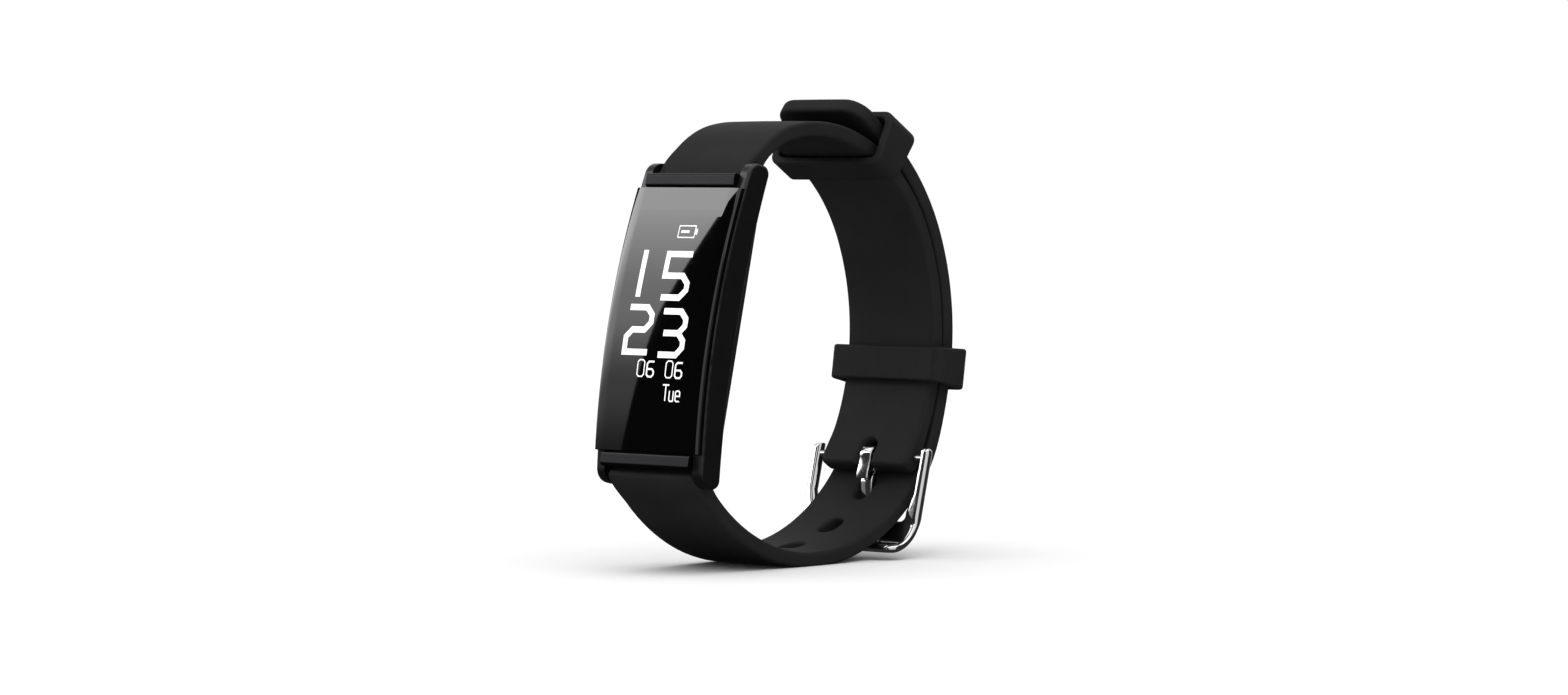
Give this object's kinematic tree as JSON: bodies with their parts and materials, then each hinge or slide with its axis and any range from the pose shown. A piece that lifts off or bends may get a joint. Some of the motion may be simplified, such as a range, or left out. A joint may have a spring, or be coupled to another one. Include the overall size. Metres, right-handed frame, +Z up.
{
  "type": "fitness tracker band",
  "caption": "Slim wrist-worn fitness tracker with an arched glass screen, buckled rubber strap, pin buckle and sliding keeper loops.",
  "frame": {"origin": "centre of the footprint on the ground plane, under the buckled band standing on its lower strap", "axes": "X across the strap, -Y towards the side the screen faces, +Z up"},
  "size_m": [0.0208, 0.0558, 0.0627],
  "materials": {
    "lens_glass": "black-backed hardened cover glass, gloss",
    "lens_adhesive": "black bonding foam",
    "touch_pad_film": "copper electrode film",
    "oled_panel": "dark display glass",
    "display_flex": "amber polyimide ribbon",
    "case_housing": "black satin moulded housing",
    "end_bar_upper": "dark satin metal",
    "end_bar_lower": "dark satin metal",
    "main_board": "green glass-fibre laminate",
    "board_chips": "tinned shield can and packages",
    "battery_cell": "foil pouch",
    "battery_board": "green laminate with leads",
    "motor_can": "drawn steel can",
    "motor_rotor": "heavy alloy rotor weight",
    "sensor_board": "green laminate",
    "sensor_lamps": "clear resin lamps",
    "sensor_photodiode": "dark epoxy package",
    "sensor_window": "dark tinted window",
    "charging_contacts": "gold-plated pins",
    "rear_seal": "black silicone seal",
    "rear_cover": "black fine-textured plastic",
    "short_strap": "matte black elastomer",
    "long_strap": "matte black elastomer",
    "lower_keeper": "matte black elastomer",
    "upper_keeper": "matte black elastomer",
    "buckle_pin": "steel pin",
    "buckle_frame": "polished plate",
    "buckle_tang": "polished plate",
    "upper_bar_tube": "steel tube",
    "upper_bar_tip_left": "turned steel tip",
    "upper_bar_tip_right": "turned steel tip",
    "upper_bar_coil": "spring wire",
    "lower_bar_tube": "steel tube",
    "lower_bar_tip_left": "turned steel tip",
    "lower_bar_tip_right": "turned steel tip",
    "lower_bar_coil": "spring wire"
  },
  "bodies": {
    "lower_strap": {"long_strap": "long_strap"},
    "case": {"lens_glass": "lens_glass", "lens_adhesive": "lens_adhesive", "touch_pad_film": "touch_pad_film", "oled_panel": "oled_panel", "display_flex": "display_flex", "case_housing": "case_housing", "end_bar_upper": "end_bar_upper", "end_bar_lower": "end_bar_lower", "main_board": "main_board", "board_chips": "board_chips", "battery_cell": "battery_cell", "battery_board": "battery_board", "motor_can": "motor_can", "sensor_board": "sensor_board", "sensor_lamps": "sensor_lamps", "sensor_photodiode": "sensor_photodiode", "sensor_window": "sensor_window", "charging_contacts": "charging_contacts", "rear_seal": "rear_seal", "rear_cover": "rear_cover", "upper_bar_tube": "upper_bar_tube", "upper_bar_coil": "upper_bar_coil", "lower_bar_tube": "lower_bar_tube", "lower_bar_coil": "lower_bar_coil"},
    "upper_strap": {"short_strap": "short_strap", "buckle_pin": "buckle_pin"},
    "lower_loop": {"lower_keeper": "lower_keeper"},
    "upper_loop": {"upper_keeper": "upper_keeper"},
    "frame": {"buckle_frame": "buckle_frame"},
    "tang": {"buckle_tang": "buckle_tang"},
    "rotor": {"motor_rotor": "motor_rotor"},
    "upper_bar_tip_left_body": {"upper_bar_tip_left": "upper_bar_tip_left"},
    "upper_bar_tip_right_body": {"upper_bar_tip_right": "upper_bar_tip_right"},
    "lower_bar_tip_left_body": {"lower_bar_tip_left": "lower_bar_tip_left"},
    "lower_bar_tip_right_body": {"lower_bar_tip_right": "lower_bar_tip_right"}
  },
  "joints": [
    {"name": "lower_strap_hinge", "type": "hinge", "parent": "lower_strap", "child": "case", "pos_m": [0, -0.02473, 0.01286], "axis": [1, 0, 0], "range_deg": [0, 75], "deforming": ["long_strap"]},
    {"name": "upper_strap_hinge", "type": "hinge", "parent": "case", "child": "upper_strap", "pos_m": [0, -0.01518, 0.05233], "axis": [1, 0, 0], "range_deg": [0, 55]},
    {"name": "lower_keeper_slide", "type": "hinge", "parent": "upper_strap", "child": "lower_loop", "pos_m": [0, -0.00897, 0.03085], "axis": [1, 0, 0], "range_deg": [-5, 20]},
    {"name": "upper_keeper_slide", "type": "hinge", "parent": "upper_strap", "child": "upper_loop", "pos_m": [0, -0.00192, 0.03393], "axis": [1, 0, 0], "range_deg": [-25, 0]},
    {"name": "frame_swing", "type": "hinge", "parent": "upper_strap", "child": "frame", "pos_m": [0, 0.01816, 0.0135], "axis": [1, 0, 0], "range_deg": [-60, 0]},
    {"name": "tang_swing", "type": "hinge", "parent": "upper_strap", "child": "tang", "pos_m": [0, 0.01816, 0.0135], "axis": [1, 0, 0], "range_deg": [-30, 0]},
    {"name": "vibration_spin", "type": "hinge", "parent": "case", "child": "rotor", "pos_m": [0, -0.02485, 0.02514], "axis": [0, 0.972, -0.2351], "continuous": true},
    {"name": "upper_right_tip_slide", "type": "slide", "parent": "case", "child": "upper_bar_tip_right_body", "axis": [-1, 0, 0], "range_m": [0, 0.00095], "stiffness_N_per_m": 8, "springref_m": -0.0005, "deforming": ["upper_bar_coil"]},
    {"name": "upper_left_tip_slide", "type": "slide", "parent": "case", "child": "upper_bar_tip_left_body", "axis": [1, 0, 0], "range_m": [0, 0.00095], "stiffness_N_per_m": 8, "springref_m": -0.0005},
    {"name": "lower_right_tip_slide", "type": "slide", "parent": "case", "child": "lower_bar_tip_right_body", "axis": [-1, 0, 0], "range_m": [0, 0.00095], "stiffness_N_per_m": 8, "springref_m": -0.0005, "deforming": ["lower_bar_coil"]},
    {"name": "lower_left_tip_slide", "type": "slide", "parent": "case", "child": "lower_bar_tip_left_body", "axis": [1, 0, 0], "range_m": [0, 0.00095], "stiffness_N_per_m": 8, "springref_m": -0.0005}
  ],
  "couplings": [
    {"joint": "tang_swing", "follows": "frame_swing", "ratio": 0.5}
  ]
}
